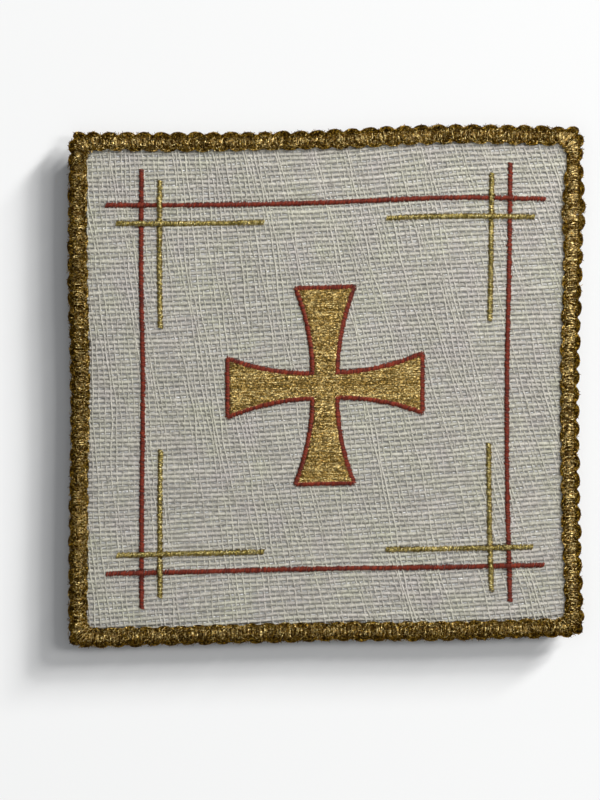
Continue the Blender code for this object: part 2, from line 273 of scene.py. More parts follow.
class Bundle:
    """Gathers tubes for one mesh. A tube is a row of rings, each of the same even number of points."""

    def __init__(self):
        self.points, self.faces, self.maps, self.tones = [], [], [], []
        self.count = 0

    def add(self, rings, tone):
        """Adds tubes: rings is tubes x stations x sides x 3, and tone fits tubes x stations.

        A ring runs from the left of the tube's course over its top to the right, so each face, listed as
        this point, the next one round, and the same two of the next ring, points outward.
        """
        tubes, stations, sides = rings.shape[:3]
        i, j = np.meshgrid(np.arange(stations - 1), np.arange(sides), indexing="ij")
        near, turned = i * sides + j, i * sides + (j + 1) % sides
        walls = np.stack([near, turned, turned + sides, near + sides], axis=-1).reshape(-1, 4)
        fan = np.arange(1, sides - 1, 2)
        end = np.stack([0 * fan, fan, fan + 1, fan + 2], axis=-1)
        faces = np.concatenate([walls, end[:, ::-1], end + (stations - 1) * sides])
        offsets = self.count + np.arange(tubes) * stations * sides
        centre = rings.mean(axis=2)
        steps = np.linalg.norm(np.diff(centre, axis=1), axis=2)
        along = np.concatenate([np.zeros((tubes, 1)), np.cumsum(steps, axis=1)], axis=1)
        corners_i = np.stack([i, i, i + 1, i + 1], axis=-1).reshape(-1, 4)
        corners_j = np.stack([j, j + 1, j + 1, j], axis=-1).reshape(-1, 4) / sides
        wall_u = along[:, corners_i]
        wall_v = np.broadcast_to(corners_j, wall_u.shape)
        cap = np.zeros((tubes, 2 * len(fan), 4, 2))
        wall_map = np.stack([wall_u, wall_v], axis=-1)
        self.maps.append(np.concatenate([wall_map, cap], axis=1).reshape(-1, 2))
        self.points.append(rings.reshape(-1, 3))
        self.faces.append((faces + offsets[:, None, None]).reshape(-1, 4))
        self.tones.append(np.repeat(np.broadcast_to(tone, (tubes, stations)), sides, axis=-1).reshape(-1))
        self.count += tubes * stations * sides

    def finish(self, name, material):
        """Makes one piece of all the tubes."""
        parts = (self.points, self.faces, self.maps, self.tones)
        return make_piece(name, material, *(np.concatenate(part) for part in parts))


def make_piece(name, material, points, faces, maps=None, tones=None):
    """A mesh object from points in millimetres and faces of four, with its map and its tone."""
    mesh = bpy.data.meshes.new(name)
    mesh.vertices.add(len(points))
    mesh.vertices.foreach_set("co", (points / METRE).astype(np.float32).ravel())
    mesh.loops.add(faces.size)
    mesh.loops.foreach_set("vertex_index", faces.astype(np.int32).ravel())
    mesh.polygons.add(len(faces))
    mesh.polygons.foreach_set("loop_start", np.arange(0, faces.size, 4, dtype=np.int32))
    mesh.polygons.foreach_set("use_smooth", np.ones(len(faces), bool))
    if maps is not None:
        layer = mesh.uv_layers.new(name="thread")
        layer.uv.foreach_set("vector", maps.astype(np.float32).ravel())
    if tones is not None:
        attribute = mesh.attributes.new("tone", "FLOAT", "POINT")
        attribute.data.foreach_set("value", tones.astype(np.float32))
    mesh.update(calc_edges=True)
    mesh.validate()
    mesh.materials.append(material)
    piece = bpy.data.objects.new(name, mesh)
    bpy.context.scene.collection.objects.link(piece)
    return piece


def yarn_rings(x, y, lift, half_width, half_height):
    """Rings of a yarn lying on the cloth: ellipses set across its course, draped over the panel."""
    step_x, step_y = np.gradient(x), np.gradient(y)
    length = np.hypot(step_x, step_y)[:, None]
    side = half_width[:, None] * np.cos(ROUND)
    rise = half_height[:, None] * np.sin(ROUND)
    left_x, left_y = -step_y[:, None] / length, step_x[:, None] / length
    return drape(x[:, None] + left_x * side, y[:, None] + left_y * side, lift[:, None] + rise)[None]


def thread_rings(paths, radius):
    """Rings across threads x stations x 3 paths: a ring's left is up x course, its top course x left."""
    course = np.gradient(paths, axis=1)
    course /= np.linalg.norm(course, axis=2, keepdims=True)
    left = np.cross([0.0, 0.0, 1.0], course)
    left /= np.maximum(np.linalg.norm(left, axis=2, keepdims=True), 1e-6)
    top = np.cross(course, left)
    ring = left[:, :, None] * np.cos(ROUND)[:, None] + top[:, :, None] * np.sin(ROUND)[:, None]
    return paths[:, :, None] + ring * np.broadcast_to(radius, paths.shape[:2])[:, :, None, None]


def thread_piece(name, paths, radius, tone, material):
    """A piece of round threads that are all made at once."""
    bundle = Bundle()
    bundle.add(thread_rings(paths, radius), tone)
    return bundle.finish(name, material)


def waver(waves, along, yarn):
    """How far a yarn strays to the side: the sum of size sin(along / length + shift yarn) over the waves."""
    return sum(wave.size * np.sin(along / wave.length + wave.shift * yarn) for wave in waves)


def weft_y(row, x):
    """A weft's height on the cloth: it rises to the right, a little more towards the right, and wavers."""
    return row + WEFT_RISE * x + WEFT_RISE_GROWTH * x**2 + waver(WEFT_WAVES, x, row)


def warp_x(place, y):
    """A warp's course up the cloth: it leans to the left, most on the right-hand side, and wavers."""
    return place - (WARP_LEAN + WARP_LEAN_GROWTH * place) * y + waver(WARP_WAVES, y, place)


def yarn_through(course, along, across):
    """The yarn through a point, by stepping its course, weft_y() or warp_x(), back."""
    yarn = across
    for _ in range(STEPS_BACK):
        yarn = yarn + across - course(yarn, along)
    return yarn


def uneven_places(pitch, spread, chance):
    """Places of a set of yarns, their pitch uneven by a share of spread."""
    count = int(2 * YARN_FIELD / pitch)
    return np.cumsum(pitch * (1 + spread * chance.uniform(-1, 1, count))) - YARN_FIELD


def crossings(others, other_course, course, x_at, y_at):
    """A yarn's stations: every half step from one yarn across it to the next, or None off the panel."""
    numbers = np.interp(yarn_through(other_course, course, FIELD), others, np.arange(len(others)))
    counted = np.arange(np.ceil(2 * numbers[0]), np.floor(2 * numbers[-1])) / 2
    stations = np.interp(counted, numbers, FIELD)
    x, y = x_at(stations), y_at(stations)
    inside = np.flatnonzero(np.hypot(*past_corners(x, y)) < YARN_END)
    if len(inside) <= 4:
        return None
    return [values[inside[0] : inside[-1] + 1] for values in (x, y, counted)]


def yarn_lift(yarn, over):
    """Height of a yarn's middle: over swings from 1, on top of the other set, to -1, under it."""
    return yarn.lift + yarn.swing * over - WEAVE_DEPTH


def yarn_tone(yarn, along, step, chance):
    """A yarn's tone: its set's, a little off as a whole, drifting up and down at every step."""
    return chance.normal(yarn.tone, 0.1) + yarn.drift * smooth_chance(chance, along, step)


def weave_wefts(rows, places, materials, chance):
    """The wefts, thick and thin by turns, and the flat metallic ribbons that lie deep between the rows."""
    wefts, ribbons = (Bundle(), Bundle()), Bundle()
    for number, row in enumerate(rows):
        found = crossings(places, warp_x, weft_y(row, FIELD), lambda x: x, lambda x: weft_y(row, x))
        if found is None:
            continue
        x, y, warp_number = found
        yarn = THICK_WEFT if number % 2 else THIN_WEFT
        over = np.cos(np.pi * (warp_number + number))
        swell = 1 + 0.16 * smooth_chance(chance, x, 6.0) + 0.08 * over
        tone = yarn_tone(yarn, x, 2.0, chance)
        y = y + 0.1 * smooth_chance(chance, x, 5.0)
        lift = yarn_lift(yarn, over)
        rings = yarn_rings(x, y, lift, yarn.half_width * swell, yarn.half_height * swell)
        wefts[number % 2].add(rings, tone)
        between = y + WEFT_PITCH / 2 + 0.1 * smooth_chance(chance, x, 2.0)
        some = slice(None, None, 4)
        turned = chance.uniform(-0.9, 0.9, len(x[some]))
        flat, thin = 0.18 * np.cos(turned), np.full_like(turned, 0.04)
        ribbon = yarn_rings(x[some], between[some], thin - RIBBON_DEPTH, flat, thin)
        ribbons.add(ribbon, chance.uniform(0, 1, len(turned)))
    return [
        wefts[1].finish("weft_yarns_thick", materials["yarn"]),
        wefts[0].finish("weft_yarns_thin", materials["yarn"]),
        ribbons.finish("silver_ribbons", materials["silver"]),
    ]


def warp_sink(x, y):
    """How much deeper the warps lie: sine waves with bent crests, across each other, and a bell."""
    patches = np.sin(x / 9 + 1.3 * np.sin(y / 14)) * np.sin(y / 12 + 1.1 * np.sin(x / 17))
    return PATCH_SINK * patches + LOWER_LEFT_SINK.rise * bell(LOWER_LEFT_SINK, x, y)


def weave_warps(rows, places, materials, chance):
    """The warps: some are white slubs on top, and the rest thin yarns that go over and under."""
    warps = Bundle()
    for number, place in enumerate(places):
        course = warp_x(place, FIELD) + 0.3 * smooth_chance(chance, FIELD, 9.0)
        found = crossings(rows, weft_y, course, lambda y: np.interp(y, FIELD, course), lambda y: y)
        if found is None:
            continue
        x, y, weft_number = found
        yarn = SLUB if chance.uniform() < SLUB_SHARE else WARP
        over = -np.cos(np.pi * (weft_number + number))
        swell = 1 + 0.2 * smooth_chance(chance, y, 8.0)
        tone = yarn_tone(yarn, y, 2.5, chance)
        lift = yarn_lift(yarn, over) - warp_sink(x, y)
        rings = yarn_rings(x, y, lift, yarn.half_width * swell, yarn.half_height * swell)
        warps.add(rings, tone)
    return warps.finish("warp_yarns", materials["yarn"])


def weave(materials):
    """The cloth's yarns in plain weave: each yarn's lift swings by cos(pi (row number + warp number))."""
    chance = draws(WEAVE_SEED)
    rows = uneven_places(WEFT_PITCH, WEFT_PITCH_SPREAD, chance)
    places = uneven_places(WARP_PITCH, WARP_PITCH_SPREAD, chance)
    wefts = weave_wefts(rows, places, materials, chance)
    return [*wefts, weave_warps(rows, places, materials, chance), stray_fibres(materials["yarn"])]


def stray_fibres(material):
    """Cotton fibres that have worked out of the yarns: short bent hairs that lie on the cloth."""
    chance = draws(WEAVE_SEED + 1)
    each = (STRAY_FIBRES, 1)
    margin = 2.5
    x, y = chance.uniform(margin - HALF_SIDE, HALF_SIDE - margin, (2, *each))
    heading = chance.normal(0, 0.7, each) + np.pi / 2 * (chance.uniform(0, 1, each) < 0.35)
    length = chance.uniform(1.0, 2.4, each)
    bend = chance.normal(0, 0.35, each)
    c = np.linspace(-0.5, 0.5, 3)
    along, aside = length * c, bend * (1 - 4 * c**2)
    turned_x = x + along * np.cos(heading) - aside * np.sin(heading)
    turned_y = y + along * np.sin(heading) + aside * np.cos(heading)
    lift = chance.uniform(0.08, 0.22, each) - 0.1 * (2 * c) ** 2
    paths = drape(turned_x, turned_y, lift)
    radius = chance.uniform(0.04, 0.065, each)
    return thread_piece("stray_fibres", paths, radius, chance.uniform(0.5, 1.1, each), material)


def fold_lines():
    """Grid lines of the panel's cloth, from one foot over the face to the other, closer on the curves."""
    fold = np.cumsum([0.0] + [RIM_START / 2] * 2 + [RIM_LENGTH / 4] * 4 + [WALL] + [FOOT_LENGTH / 3] * 3)
    side = CORNER_START + fold
    face = np.linspace(-CORNER_START, CORNER_START, FACE_CELLS + 1)
    return np.concatenate([-side[:0:-1], face, side[1:]])


def panel_cloth(material):
    """The cloth that covers the panel, closed: the face draped to the foot, and the flat underside.

    In a corner's cells a point (a, b) past the corner's centre goes to the distance max(a, b) along its
    own direction, so that the grid follows the round corner.
    """
    lines = fold_lines()
    x, y = np.meshgrid(lines, lines, indexing="ij")
    a, b = past_corners(x, y)
    pull = np.maximum(np.abs(a), np.abs(b)) / np.maximum(np.hypot(a, b), 1e-9)
    inner_x, inner_y = x - a, y - b
    out_x, out_y = a * pull, b * pull
    far = np.hypot(out_x, out_y)
    past = np.clip((far - RIM_START) / RIM, 0, np.pi / 2)
    face = drape(inner_x + out_x, inner_y + out_y, -GROUND_DEPTH * np.cos(past))
    narrowing = (CORNER - FOOT) / FOLD_LENGTH
    underside = lay(inner_x + out_x * narrowing, inner_y + out_y * narrowing, 0 * x)
    count = len(lines)
    index = np.arange(count * count).reshape(count, count)
    below = index + count * count
    for side in (0, -1):
        below[side], below[:, side] = index[side], index[:, side]
    cells = [
        np.stack([grid[:-1, :-1], grid[1:, :-1], grid[1:, 1:], grid[:-1, 1:]], axis=-1).reshape(-1, 4)
        for grid in (index, below)
    ]
    faces = np.concatenate([cells[0], cells[1][:, ::-1]])
    points = np.concatenate([face.reshape(-1, 3), underside.reshape(-1, 3)])
    used, renumbered = np.unique(faces, return_inverse=True)
    return make_piece("panel_cloth", material, points[used], renumbered.reshape(-1, 4))


def beside_edge(run, out):
    """Points beside the panel's edge, on the true square, and the number of the edge they are on.

    run is the way along the lobe tips from the braid's join, turning left at each corner, and out is the
    distance outside the panel's edge. At a corner the radius is divided by (cos^n + sin^n)^(1/n), where n
    grows from 2 at the panel's edge.
    """
    run, out = np.broadcast_arrays((JOIN_RUN + run) % BRAID_LENGTH, out)
    edge, rest = np.divmod(run, STRAIGHT + CORNER_RUN)
    edge = edge.astype(int) % len(EDGES)
    turn = np.clip((rest - STRAIGHT) / CORNER_RUN, 0, 1) * np.pi / 2
    n = 2 + (CORNER_SQUARENESS - 2) * np.maximum(out, 0) / OUTER_REACH
    radius = (CORNER + out) / (np.cos(turn) ** n + np.sin(turn) ** n) ** (1 / n)
    on_side = rest <= STRAIGHT
    x = np.where(on_side, HALF_SIDE + out, CORNER_START + radius * np.cos(turn))
    y = np.where(on_side, rest - CORNER_START, CORNER_START + radius * np.sin(turn))
    cos, sin = np.array([1, 0, -1, 0])[edge], np.array([0, 1, 0, -1])[edge]
    return x * cos - y * sin, x * sin + y * cos, edge


def width_share(run):
    """How wide the braid is along its run, as a share of its usual width."""
    x, y, edge = beside_edge(run, BRAID_LINE)
    share = np.ones_like(x)
    for change in WIDTH_CHANGES:
        number = EDGES.index(change.edge)
        place = y if change.edge in ("left", "right") else x
        bump = change.share * np.exp(-(((place - change.place) / change.reach) ** 2))
        share = share + np.where(edge == number, bump, 0)
    return share


def edge_at(run):
    """The number of the edge that each place of the braid is on."""
    return beside_edge(run, BRAID_LINE)[2]


def on_braid(run, across, high):
    """Points on the braid: across its middle line and high above the cloth it is sewn to."""
    out = BRAID_LINE + across
    x, y, _ = beside_edge(run, out)
    droop = DROOP * (np.maximum(out, 0) / OUTER_REACH) ** 2
    return lay(x, y, face_height(x, y) + SEWN_GAP - droop + high)


def lobe_reach(phase, tip):
    """Reach of a row of lobes, phase pitches along it: round tips with narrow valleys between them."""
    rise = np.abs(np.sin(np.pi * phase)) ** LOBE_ROUNDNESS
    return tip * (VALLEY + (1 - VALLEY) * rise)


def lobe_sizes():
    """Each lobe's size as a share of the usual one."""
    return draws(LOBE_SEED).uniform(1 - LOBE_UNEVENNESS, 1 + LOBE_UNEVENNESS, LOBES)


# The bed's section: across as a share of a lobe's reach or of half the band, and height above the cloth
BedPoint = namedtuple("BedPoint", "measure across height")
BED_SECTION = (
    BedPoint("inner", -0.96, 0.0),
    BedPoint("inner", -0.96, 0.3),
    BedPoint("band", -0.9, 0.62),
    BedPoint("band", -0.4, 1.05),
    BedPoint("band", 0.4, 1.05),
    BedPoint("band", 0.9, 0.62),
    BedPoint("outer", 0.96, 0.3),
    BedPoint("outer", 0.96, 0.0),
)


def braid_bed(material):
    """The braid's inside, which shows between its threads, kept dark, partly as painted shade deep among
    them: its lobed section carried round.
    """
    phase = np.arange(LOBES * 8 + 1) / 8
    run = np.clip(phase * LOBE_PITCH, SEWN_GAP / 2, BRAID_LENGTH - SEWN_GAP / 2)
    size = lobe_sizes()[np.minimum(phase.astype(int), LOBES - 1)] * width_share(run)
    measures = {
        "outer": size * lobe_reach(phase, OUTER_REACH),
        "inner": size * lobe_reach(phase + INNER_STAGGER, INNER_REACH),
        "band": width_share(run) * BRAID_BAND / 2,
    }
    ring = [on_braid(run, row.across * measures[row.measure], row.height) for row in BED_SECTION]
    bundle = Bundle()
    # Tone 0, the darkest, partly as painted shade
    bundle.add(np.stack(ring[::-1], axis=1)[None], 0.0)
    return bundle.finish("braid_bed", material)


def braid_band(material):
    """The raised band: threads wound across it in bundles of three, each an arch with a slight bow.

    Across a thread, c goes from -1 to 1. Its height is (1 - |c|^2.4), and its bow along the run (1 - c^2).
    """
    chance = draws(LOBE_SEED + 1)
    count = BAND_BUNDLES * THREADS_IN_BUNDLE
    bundle_number, within = np.divmod(np.arange(count), THREADS_IN_BUNDLE)
    within = within - 1
    run = (bundle_number + 0.5) * BRAID_LENGTH / BAND_BUNDLES + within * THREAD_SPACING
    run = run + chance.normal(0, 0.08, count)
    c = np.linspace(-1, 1, 7)
    half = BRAID_BAND / 2 * width_share(run) * chance.uniform(0.94, 1.06, count)
    crest = BRAID_THICKNESS - BAND_SIDE - 0.12 * np.abs(within) + chance.normal(0, 0.05, count)
    crest = crest + 0.08 * chance.normal(0, 1, BAND_BUNDLES)[bundle_number]
    lean = chance.normal(0, 0.22, BAND_BUNDLES)[bundle_number]
    lean = lean + 0.12 * np.sin(2 * np.pi * run / LOBE_PITCH)
    arch = 1 - np.abs(c) ** 2.4
    along = run[:, None] + 0.35 * (1 - c**2) + lean[:, None] * c
    high = BAND_SIDE + (crest[:, None] - BAND_SIDE) * arch + chance.normal(0, 0.05, (count, len(c)))
    paths = on_braid(along, half[:, None] * c, high)
    radius = chance.uniform(0.12, 0.2, (count, 1))
    edge = edge_at(run)
    spread = BAND_SPREAD[edge]
    # Painted light: the band's tone is lighter on the right and darker at the bottom, as the light falls, and
    # each bundle's middle thread, which rides highest, is a little lighter
    tone_with_painted_light = BAND_PAINTED_LIGHT[edge] + spread * chance.uniform(-1, 1, count) + 0.1 * (within == 0)
    # Painted shade: each thread is darker towards the band's sides, where it bends down
    tone = tone_with_painted_light[:, None] * (1 - 0.6 * np.abs(c) ** 3)
    tone = tone + 0.8 * spread[:, None] * chance.normal(0, 1, high.shape)
    return thread_piece("braid_band", paths, radius, tone, material)


# The loops of one lobe: middle in pitches from the lobe's, reach and half width as shares of the lobe's
Loop = namedtuple("Loop", "place reach width")
LOOPS = (
    Loop(0.0, 0.38, 0.36),
    Loop(0.0, 0.56, 0.54),
    Loop(0.0, 0.73, 0.74),
    Loop(0.0, 0.87, 0.92),
    Loop(0.0, 0.98, 1.0),
    Loop(0.5, 0.52, 0.42),
    Loop(0.5, 0.72, 0.5),
)


def braid_lobes(name, side, material):
    """A row of lobes: nested loops of thread from the band's edge out to the lobe's rim and back.

    Round a loop, a goes from 0 to pi: it goes out by sin(a) and along the run by -cos(a).
    """
    chance = draws(LOBE_SEED + 2 + side)
    tip, stagger = (OUTER_REACH, 0.0) if side > 0 else (INNER_REACH, INNER_STAGGER)
    place, reach, width = np.tile(np.array(LOOPS), (LOBES, 1)).T
    centre = (np.arange(LOBES) + 0.5 - stagger) * LOBE_PITCH + chance.normal(0, 0.25, LOBES)
    size = lobe_sizes() * width_share(centre)
    mid = np.repeat(centre, len(LOOPS)) + place * LOBE_PITCH
    reach = np.where(place > 0, reach * (0.4 + 0.8 * VALLEY_FILL[edge_at(mid)]), reach)
    size = np.repeat(size, len(LOOPS))
    a = np.linspace(0.08, np.pi - 0.08, 7)
    root = 0.8 * BRAID_BAND / 2 * width_share(mid)
    out = root[:, None] + (size * tip - root - 0.2)[:, None] * reach[:, None] * np.sin(a)
    half_loop = (0.5 * LOBE_PITCH * width)[:, None]
    along = mid[:, None] - half_loop * np.cos(a) * (0.8 + 0.2 * np.sin(a))
    high = 0.85 - 0.5 * reach[:, None] * np.sin(a) + chance.normal(0, 0.05, (len(mid), 1))
    high = high + chance.normal(0, 0.05, high.shape)
    along = along + chance.normal(0, 0.07, along.shape)
    paths = on_braid(along, side * out, high)
    # Painted light and shade: the drooping outer lobes stay dark, the inner ones, which catch the light, may
    # be far lighter, and each loop darkens towards its rim, where it hangs lowest
    painted_light_top_tone = 0.38 if side > 0 else 0.85
    tone = chance.uniform(0.1, painted_light_top_tone, (len(mid), 1)) * (1.3 - 0.8 * np.sin(a))
    tone = tone + chance.normal(0, 0.15, high.shape)
    return thread_piece(name, paths if side > 0 else paths[:, ::-1], LOOP_RADIUS, tone, material)


def braid_fuzz(material):
    """Loose ends and small loops of the film that stand out all over the braid, each short and straight.

    They fill a share of the valleys between the lobes, most on the left and at the bottom, and lie
    thickest where the braid's two ends meet. Half of those on the right go round to the left.
    """
    chance = draws(LOBE_SEED + 5)
    count = LOOSE_ENDS
    run = chance.uniform(0, BRAID_LENGTH, count)
    run[:LOOSE_ENDS_AT_JOIN] = chance.normal(0, 2.4, LOOSE_ENDS_AT_JOIN) % BRAID_LENGTH
    phase = run / LOBE_PITCH
    share = chance.uniform(-1.0, 1.0, count)
    worn = (edge_at(run) > 0) | (chance.uniform(0, 1, count) < 0.5)
    run = np.where(worn, run, (run + BRAID_LENGTH / 2) % BRAID_LENGTH)
    filled = VALLEY_FILL[edge_at(run)]
    outer, inner = lobe_reach(phase, OUTER_REACH), lobe_reach(phase + INNER_STAGGER, INNER_REACH)
    rim = np.where(share > 0, outer, inner) * (1 - filled)
    rim = rim + 0.95 * np.where(share > 0, OUTER_REACH, INNER_REACH) * filled
    across = share * rim * width_share(run)
    heading = chance.uniform(0, np.pi, count)
    length = chance.uniform(0.4, 1.3, count)
    c = np.array([-0.5, 0.5])
    along = run[:, None] + (np.cos(heading) * length)[:, None] * c
    aside = across[:, None] + (np.sin(heading) * length)[:, None] * c
    ground = np.where(np.abs(share) < 0.5, 1.05, 1.05 - 1.3 * (np.abs(share) - 0.5))
    rise = chance.uniform(0.05, 0.3, count)[:, None] + chance.uniform(-0.2, 0.2, (count, 1)) * 2 * c
    paths = on_braid(along, aside, ground[:, None] + rise)
    radius = chance.uniform(0.055, 0.1, (count, 1))
    # Painted shade: the loose ends out on the outer lobes are darker
    tone = np.where(share > 0.5, 0.6, 1.0) * chance.uniform(0.0, 1.0, count)
    return thread_piece("braid_fuzz", paths, radius, tone[:, None], material)


def hump(place, levels):
    """Lift of a sewn line over the lines that it crosses: level on top, sloping down on both sides."""
    away = np.full_like(place, HUMP_REACH)
    for level in levels:
        away = np.minimum(away, np.abs(place - level))
    slope = (HUMP_REACH - away) / (HUMP_REACH - LINE_WIDTH / 2)
    return (LINE_HEIGHT + SEWN_GAP) * np.minimum(slope, 1)


# A sewn line: level is its fixed coordinate, and it runs from start to end along the other
SewnLine = namedtuple("SewnLine", "colour direction level start end")


def sewn_lines():
    """All straight lines in the order in which they are sewn: red, then gold, and upright before level."""
    away = {"red": RED_FROM_CENTRE, "gold": GOLD_FROM_CENTRE}
    spans = {
        "red": [(-RED_HALF_LENGTH, RED_HALF_LENGTH)],
        "gold": [(-GOLD_OUTER_END, -GOLD_INNER_END), (GOLD_INNER_END, GOLD_OUTER_END)],
    }
    return [
        SewnLine(colour, direction, side * away[colour], start, end)
        for colour in spans
        for direction in "yx"
        for side in (-1, 1)
        for start, end in spans[colour]
    ]


def stitches(middle, course, lift, width, spread, chance):
    """Satin stitches over a line: c goes from -1 to 1 across it, and the height is (1 - c^2)^0.7."""
    count = len(lift)
    c = np.linspace(-1, 1, 5)
    half = width / 2 * chance.uniform(0.78, 1.14, count)
    shift = chance.normal(0, 0.07, count)
    side = half[:, None] * c + shift[:, None]
    slant = STITCH_SLANT * c + chance.normal(0, 0.04, (count, 1))
    course_x, course_y = course[0][:, None], course[1][:, None]
    x = middle[0][:, None] - course_y * side + course_x * slant
    y = middle[1][:, None] + course_x * side + course_y * slant
    crest = LINE_HEIGHT + chance.normal(0, 0.04, count)
    high = lift[:, None] - 0.15 + (crest[:, None] + 0.1) * (1 - c**2) ** 0.7
    paths = lay(x, y, face_height(x, y) + high)
    tone = chance.uniform(0.5 - spread, 0.5 + spread, (count, 1)) + chance.normal(0, 0.15, high.shape)
    return paths, tone


def satin_lines(materials):
    """The red and the gold lines, each line humped over those that are sewn before it."""
    chance = draws(STITCH_SEED)
    bundles = {"red": Bundle(), "gold": Bundle()}
    lines = sewn_lines()
    for number, line in enumerate(lines):
        place = np.arange(line.start, line.end, STITCH_PITCH)
        crossed = [
            other.level
            for other in lines[:number]
            if other.direction != line.direction
            and line.start < other.level < line.end
            and other.start < line.level < other.end
        ]
        turned = slice(None, None, -1 if line.direction == "y" else 1)
        middle = [place, np.full_like(place, line.level)][turned]
        course = [np.ones_like(place), np.zeros_like(place)][turned]
        width, spread = (LINE_WIDTH, 0.4) if line.colour == "red" else (1.08 * LINE_WIDTH, 0.25)
        paths, tone = stitches(middle, course, hump(place, crossed), width, spread, chance)
        bundles[line.colour].add(thread_rings(paths, STITCH_RADIUS), tone)
    return [bundles[colour].finish(colour + "_satin_lines", materials[colour]) for colour in bundles]


def cross_corners(steps):
    """Corner points of the cross, counter-clockwise: half an arm's width is waist + (flare - waist) t^2."""
    t = np.linspace(0, 1, steps)
    outward = CROSS_WAIST + (CROSS_REACH - CROSS_WAIST) * t
    side = np.column_stack([outward, CROSS_WAIST + (CROSS_FLARE - CROSS_WAIST) * t**2])
    arm = np.concatenate([side[1:] * [1, -1], side[:0:-1], side[:1]])
    quarter = np.array([[0, 1], [-1, 0]])
    return np.concatenate([arm @ np.linalg.matrix_power(quarter, turn) for turn in range(4)])


def cross_outline(material):
    """The cross's red outline: satin stitches set across its course, fanning out at the corners."""
    chance = draws(STITCH_SEED + 1)
    corners = cross_corners(24)
    closed = np.concatenate([corners, corners[:1]])
    run = np.concatenate([[0], np.cumsum(np.linalg.norm(np.diff(closed, axis=0), axis=1))])
    place = np.arange(0, run[-1], 0.9 * STITCH_PITCH)

    def at(where):
        return np.stack([np.interp(where % run[-1], run, closed[:, axis]) for axis in (0, 1)])

    course = at(place + 0.6) - at(place - 0.6)
    course /= np.hypot(*course)
    lift = np.full_like(place, OUTLINE_LIFT)
    paths, tone = stitches(at(place), course, lift, 1.12 * LINE_WIDTH, 0.5, chance)
    return thread_piece("cross_satin_outline", paths, STITCH_RADIUS, tone, material)


def fill_spans(height):
    """The stretches of a level row that lie inside the cross, FILL_INSET from its edge."""
    waist, flare, reach = (size - FILL_INSET for size in (CROSS_WAIST, CROSS_FLARE, CROSS_REACH))
    away = abs(height)
    if away <= waist:
        return [(-reach, reach)]
    upright = waist + (flare - waist) * ((away - waist) / (reach - waist)) ** 2
    spans = [(-upright, upright)]
    if away < flare:
        inner = waist + (reach - waist) * ((away - waist) / (flare - waist)) ** 0.5
        spans += [(-reach, -inner), (inner, reach)]
    return spans


def cross_fill(material):
    """The cross's gold filling: rows of stitches that dip where each new one starts, brick fashion."""
    chance = draws(STITCH_SEED + 2)
    bundle = Bundle()
    end = CROSS_REACH - FILL_INSET
    for number, height in enumerate(np.arange(-end, end, FILL_PITCH)):
        for low, high in fill_spans(height):
            if high - low < 1.0:
                continue
            x = np.linspace(low, high, max(3, round(high - low)))
            y = height + 0.05 * smooth_chance(chance, x, 1.5)
            stitch = np.abs(np.sin(np.pi * (x / FILL_STITCH + number * FILL_STAGGER))) ** 0.5
            path = lay(x, y, face_height(x, y) + 0.16 + 0.2 * stitch)[None]
            tone = chance.uniform(0.45, 0.75) + 0.3 * smooth_chance(chance, x, 1.2)
            bundle.add(thread_rings(path, FILL_RADIUS), tone)
    return bundle.finish("cross_filling", material)


def linear(hex_colour):
    """An sRGB hex colour as the linear values that shaders use."""
    values = np.array([int(hex_colour[i : i + 2], 16) for i in (0, 2, 4)]) / 255
    curved = ((values + 0.055) / 1.055) ** 2.4
    return (*np.where(values <= 0.04045, values / 12.92, curved), 1.0)


def add_node(tree, kind, inputs=None, **settings):
    """Adds a node. An input is given by its name or number: a socket is linked and a value is set."""
    made = tree.nodes.new("ShaderNode" + kind)
    for name, value in settings.items():
        setattr(made, name, value)
    for key, value in (inputs or {}).items():
        socket = made.inputs[key]
        if isinstance(value, bpy.types.NodeSocket):
            tree.links.new(value, socket)
        else:
            socket.default_value = value
    return made


def new_material(name, **values):
    """A material and its nodes. The Principled shader has the given values on its own sockets."""
    made = bpy.data.materials.new(name)
    made.use_nodes = True
    for key, value in values.items():
        made.node_tree.nodes["Principled BSDF"].inputs[key.replace("_", " ")].default_value = value
    return made, made.node_tree


def surface(material, colour, normal):
    """Links a material's colour and normal, and gives it back."""
    tree = material.node_tree
    tree.links.new(colour, tree.nodes["Principled BSDF"].inputs["Base Color"])
    tree.links.new(normal, tree.nodes["Principled BSDF"].inputs["Normal"])
    return material


def calculate(tree, kind, operation, *values):
    """What a Math or VectorMath node gives."""
    return add_node(tree, kind, dict(enumerate(values)), operation=operation).outputs[0]


def mix(tree, share, low, high, blend="MIX"):
    """A colour between two others."""
    inputs = {0: share, 6: low, 7: high}
    return add_node(tree, "Mix", inputs, data_type="RGBA", blend_type=blend).outputs[2]


def texture(tree, kind, width, inputs=None, **settings):
    """The outputs of a texture on the object, its pattern drawn about width millimetres wide."""
    place = add_node(tree, "TexCoord").outputs["Object"]
    inputs = {"Vector": place, "Scale": METRE / width, **(inputs or {})}
    return add_node(tree, "Tex" + kind, inputs, **settings).outputs


def bumped(tree, height, strength, depth):
    """A normal tipped by the slopes of a height that is depth millimetres where it is 1."""
    inputs = {"Height": height, "Strength": strength, "Distance": depth / METRE}
    return add_node(tree, "Bump", inputs).outputs[0]


def thread_tone(tree):
    """The tone that each thread was given."""
    return add_node(tree, "Attribute", attribute_name="tone").outputs["Fac"]


def crumpled(tree, facet, tilt):
    """A normal pushed aside by a random vector, tilt long at most, in each facet of crumpled film."""
    colour = texture(tree, "Voronoi", facet)["Color"]
    centred = calculate(tree, "VectorMath", "SUBTRACT", colour, (0.5, 0.5, 0.5))
    normal = add_node(tree, "NewGeometry").outputs["Normal"]
    pushed = calculate(tree, "VectorMath", "MULTIPLY_ADD", centred, (tilt, tilt, tilt), normal)
    return calculate(tree, "VectorMath", "NORMALIZE", pushed)


